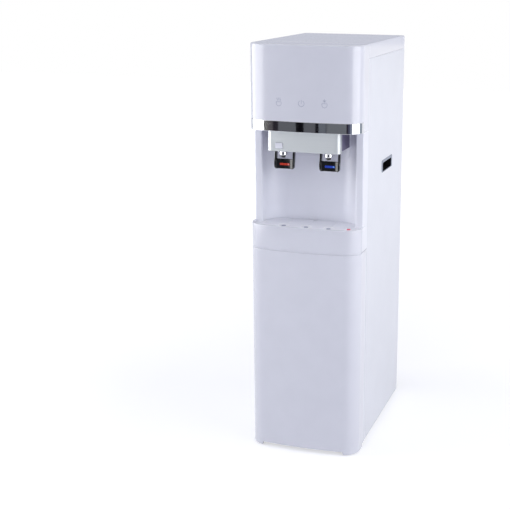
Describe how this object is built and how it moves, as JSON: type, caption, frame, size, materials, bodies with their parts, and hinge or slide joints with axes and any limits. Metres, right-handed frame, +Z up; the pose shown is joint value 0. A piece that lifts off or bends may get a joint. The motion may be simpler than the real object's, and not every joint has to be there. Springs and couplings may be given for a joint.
{
  "type": "floor-standing water dispenser",
  "caption": "Free-standing hot and cold water dispenser: bottle bay behind a hinged door, niche with two push-lever taps over a lift-out drip tray, chrome band and crowned head.",
  "frame": {"origin": "centre of the footprint's box, on the floor", "axes": "+Z up, -Y towards the user, +X to the user's right"},
  "size_m": [0.312, 0.5, 1.125],
  "materials": {
    "cabinet_white": "gloss powder-coated steel",
    "gloss_white": "moulded gloss ABS",
    "satin_white": "satin moulded ABS",
    "chrome_trim": "bright chrome-plated ABS",
    "silver_shroud": "satin silver",
    "dark_grey": "fine-grained dark plastic",
    "black_gloss": "gloss black",
    "black_rubber": "moulded rubber",
    "red_mark": "gloss red",
    "blue_mark": "gloss blue",
    "galvanised": "galvanised sheet",
    "steel_pin": "turned steel",
    "strap_grey": "grey painted sheet",
    "coil_black": "black enamelled tube",
    "foam_white": "moulded foam",
    "shelf_blue": "pale moulded plastic",
    "bottle_blue": "clear blue polycarbonate",
    "collar_blue": "gloss blue",
    "probe_white": "satin moulded plastic",
    "hose_white": "soft silicone",
    "tank_foam": "foam jacket",
    "board_green": "circuit board",
    "green_mark": "gloss green",
    "nylon": "nylon"
  },
  "bodies": {
    "cabinet": {"base_plate": "galvanised", "levelling_feet": "black_rubber", "corner_blocks": "dark_grey", "base_front_pad": "foam_white", "bottle_shelf": "shelf_blue", "front_frame": "cabinet_white", "side_panel_left": "cabinet_white", "side_panel_right": "cabinet_white", "handle_left": "dark_grey", "handle_right": "dark_grey", "mid_deck": "galvanised", "rear_panel": "cabinet_white", "cross_strap": "strap_grey", "top_cover": "gloss_white", "head_shell": "gloss_white", "chrome_band": "chrome_trim", "niche_shell": "satin_white", "tray_housing": "satin_white", "apron": "gloss_white", "tap_back_plate": "satin_white", "tap_housing": "dark_grey", "tap_shroud": "silver_shroud", "hot_nozzle": "chrome_trim", "cold_nozzle": "chrome_trim", "outlet_tips": "black_gloss", "lever_pins": "steel_pin", "condenser_coil": "coil_black", "condenser_wires": "coil_black", "condenser_brackets": "steel_pin", "compressor": "coil_black", "cold_tank": "tank_foam", "hot_tank": "steel_pin", "water_pump": "dark_grey", "control_board": "board_green", "cord_gland": "black_gloss", "drain_spigot": "satin_white", "switch_bezels": "dark_grey", "hinge_bracket_top": "steel_pin", "hinge_bracket_bottom": "steel_pin", "door_catch": "dark_grey", "bottle": "bottle_blue", "bottle_collar": "collar_blue", "probe_head": "probe_white", "dip_tube": "probe_white", "suction_hose": "hose_white", "hose_grommet": "black_rubber"},
    "door": {"door_shell": "gloss_white", "door_bush_top": "nylon", "door_bush_bottom": "nylon", "door_strike": "steel_pin"},
    "hot_lever": {"hot_lever": "black_gloss", "hot_stripe": "red_mark"},
    "cold_lever": {"cold_lever": "black_gloss", "cold_stripe": "blue_mark"},
    "lock_button": {"lock_button": "satin_white"},
    "drip_tray": {"drip_tray": "satin_white"},
    "drip_grille": {"drip_grille": "satin_white"},
    "overflow_float": {"overflow_float": "red_mark"},
    "hot_switch": {"hot_switch": "red_mark"},
    "cold_switch": {"cold_switch": "green_mark"}
  },
  "joints": [
    {"name": "door_hinge", "type": "hinge", "parent": "cabinet", "child": "door", "pos_m": [-0.145, -0.165, 0.3], "axis": [0, 0, -1], "range_deg": [0, 95]},
    {"name": "hot_lever_pivot", "type": "hinge", "parent": "cabinet", "child": "hot_lever", "pos_m": [-0.063, -0.192, 0.872], "axis": [1, 0, 0], "range_deg": [0, 12], "stiffness_Nm_per_rad": 1},
    {"name": "cold_lever_pivot", "type": "hinge", "parent": "cabinet", "child": "cold_lever", "pos_m": [0.063, -0.192, 0.872], "axis": [1, 0, 0], "range_deg": [0, 12], "stiffness_Nm_per_rad": 1},
    {"name": "lock_button_press", "type": "slide", "parent": "cabinet", "child": "lock_button", "axis": [0, 1, 0], "range_m": [0, 0.003], "stiffness_N_per_m": 300},
    {"name": "drip_tray_lift", "type": "slide", "parent": "cabinet", "child": "drip_tray", "axis": [0, 0, 1], "range_m": [0, 0.08]},
    {"name": "drip_grille_lift", "type": "slide", "parent": "drip_tray", "child": "drip_grille", "axis": [0, 0, 1], "range_m": [0, 0.05]},
    {"name": "float_rise", "type": "slide", "parent": "drip_tray", "child": "overflow_float", "axis": [0, 0, 1], "range_m": [0, 0.008]},
    {"name": "hot_switch_rock", "type": "hinge", "parent": "cabinet", "child": "hot_switch", "pos_m": [-0.104, 0.222, 1.017], "axis": [-1, 0, 0], "range_deg": [0, 16]},
    {"name": "cold_switch_rock", "type": "hinge", "parent": "cabinet", "child": "cold_switch", "pos_m": [-0.068, 0.222, 1.017], "axis": [-1, 0, 0], "range_deg": [0, 16]}
  ]
}
